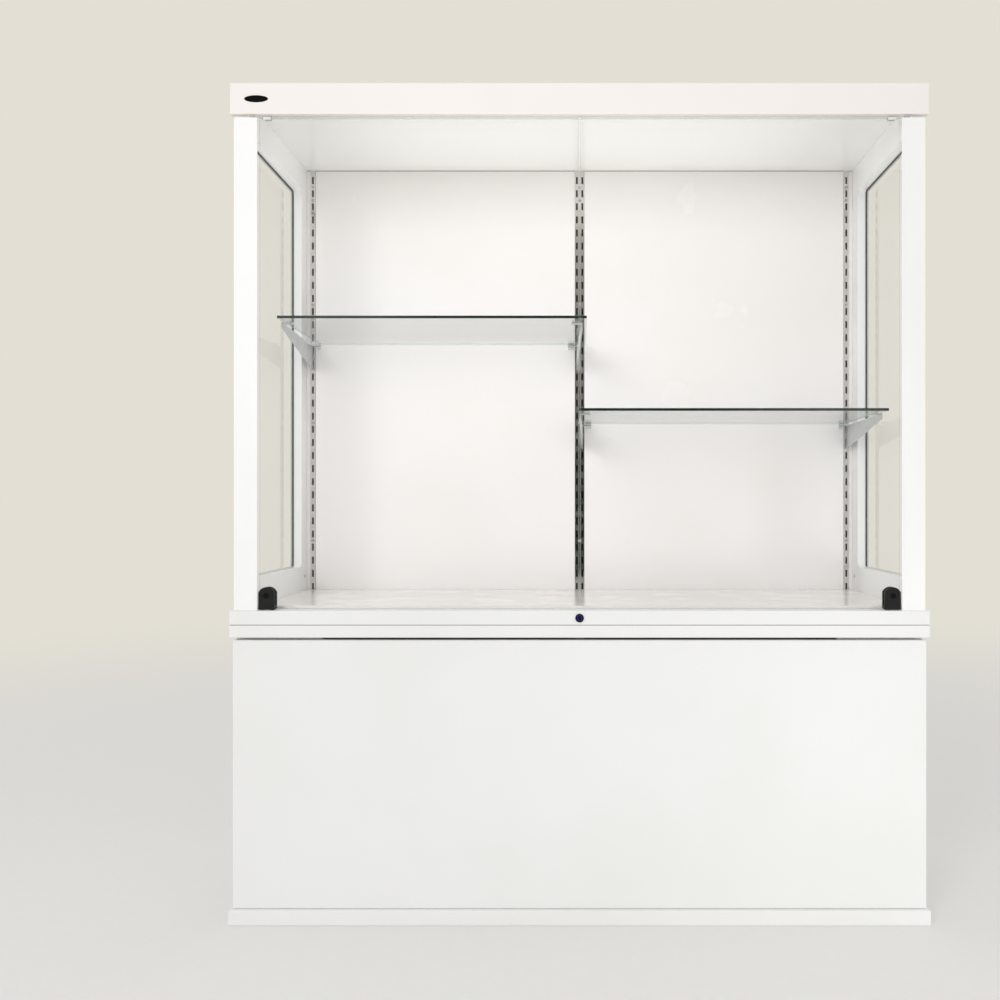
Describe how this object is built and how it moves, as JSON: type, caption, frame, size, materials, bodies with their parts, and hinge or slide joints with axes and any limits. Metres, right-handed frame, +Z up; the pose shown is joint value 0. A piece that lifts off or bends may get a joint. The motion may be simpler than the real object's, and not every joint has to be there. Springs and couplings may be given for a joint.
{
  "type": "display case",
  "caption": "White display case with pivoting glass doors, glass shelves on slotted uprights, a cam lock and a closed base cabinet with a lift-off front panel.",
  "frame": {"origin": "on the floor at the middle of the plinth", "axes": "+X to the right as seen from the front, +Y to the back, +Z up"},
  "size_m": [1.5, 0.45, 1.8],
  "materials": {
    "white_board": "white melamine-faced board, satin",
    "gloss_board": "white gloss laminate on board",
    "frame_paint": "white sprayed paint",
    "glass": "clear float glass, polished edges",
    "seal": "black glazing rubber",
    "pad": "clear soft plastic",
    "upright_chrome": "chrome plate",
    "bracket_zinc": "zinc-plated steel",
    "hinge_black": "matt black coat",
    "catch_plastic": "black plastic body",
    "clip_nylon": "white nylon",
    "lock_black": "black nickel",
    "lock_chrome": "plated"
  },
  "bodies": {
    "case": {"back_panel": "gloss_board", "base_board": "white_board", "batten_left": "white_board", "batten_right": "white_board", "bottom_rail_left": "frame_paint", "bottom_rail_right": "frame_paint", "bracket_left_inner": "bracket_zinc", "bracket_left_outer": "bracket_zinc", "bracket_right_inner": "bracket_zinc", "bracket_right_outer": "bracket_zinc", "cabinet_back": "white_board", "cabinet_partition": "white_board", "cabinet_side_left": "white_board", "cabinet_side_right": "white_board", "cabinet_top": "white_board", "catch_left": "catch_plastic", "catch_right": "catch_plastic", "deck": "gloss_board", "front_post_left": "frame_paint", "front_post_right": "frame_paint", "header_front": "white_board", "header_left": "white_board", "header_right": "white_board", "lock_barrel": "lock_black", "pad_left_inner_front": "pad", "pad_left_inner_rear": "pad", "pad_left_outer_front": "pad", "pad_left_outer_rear": "pad", "pad_right_inner_front": "pad", "pad_right_inner_rear": "pad", "pad_right_outer_front": "pad", "pad_right_outer_rear": "pad", "pivot_pin_left": "bracket_zinc", "pivot_pin_right": "bracket_zinc", "plinth": "white_board", "rear_stile_left": "frame_paint", "rear_stile_right": "frame_paint", "roof": "gloss_board", "shelf_left": "glass", "shelf_right": "glass", "side_glass_left": "glass", "side_glass_right": "glass", "side_seal_left": "seal", "side_seal_right": "seal", "top_rail_left": "frame_paint", "top_rail_right": "frame_paint", "upright_centre": "upright_chrome", "upright_left": "upright_chrome", "upright_right": "upright_chrome"},
    "left_door": {"door_glass_left": "glass", "hinge_block_left": "hinge_black", "top_clip_left": "clip_nylon"},
    "right_door": {"door_glass_right": "glass", "hinge_block_right": "hinge_black", "top_clip_right": "clip_nylon"},
    "lock_core": {"lock_plug": "lock_chrome", "lock_cam": "bracket_zinc"},
    "front_panel": {"access_panel": "white_board", "strike_left": "bracket_zinc", "strike_right": "bracket_zinc"}
  },
  "joints": [
    {"name": "left_door_swing", "type": "hinge", "parent": "case", "child": "left_door", "pos_m": [-0.67075, -0.208, 0.6738], "axis": [0, 0, -1], "range_deg": [0, 105]},
    {"name": "right_door_swing", "type": "hinge", "parent": "case", "child": "right_door", "pos_m": [0.67075, -0.208, 0.6738], "axis": [0, 0, 1], "range_deg": [0, 105]},
    {"name": "lock_turn", "type": "hinge", "parent": "case", "child": "lock_core", "pos_m": [0, -0.222, 0.6565], "axis": [0, -1, 0], "range_deg": [0, 90]},
    {"name": "front_panel_pull", "type": "slide", "parent": "case", "child": "front_panel", "axis": [0, -1, 0], "range_m": [0, 0.3]}
  ]
}
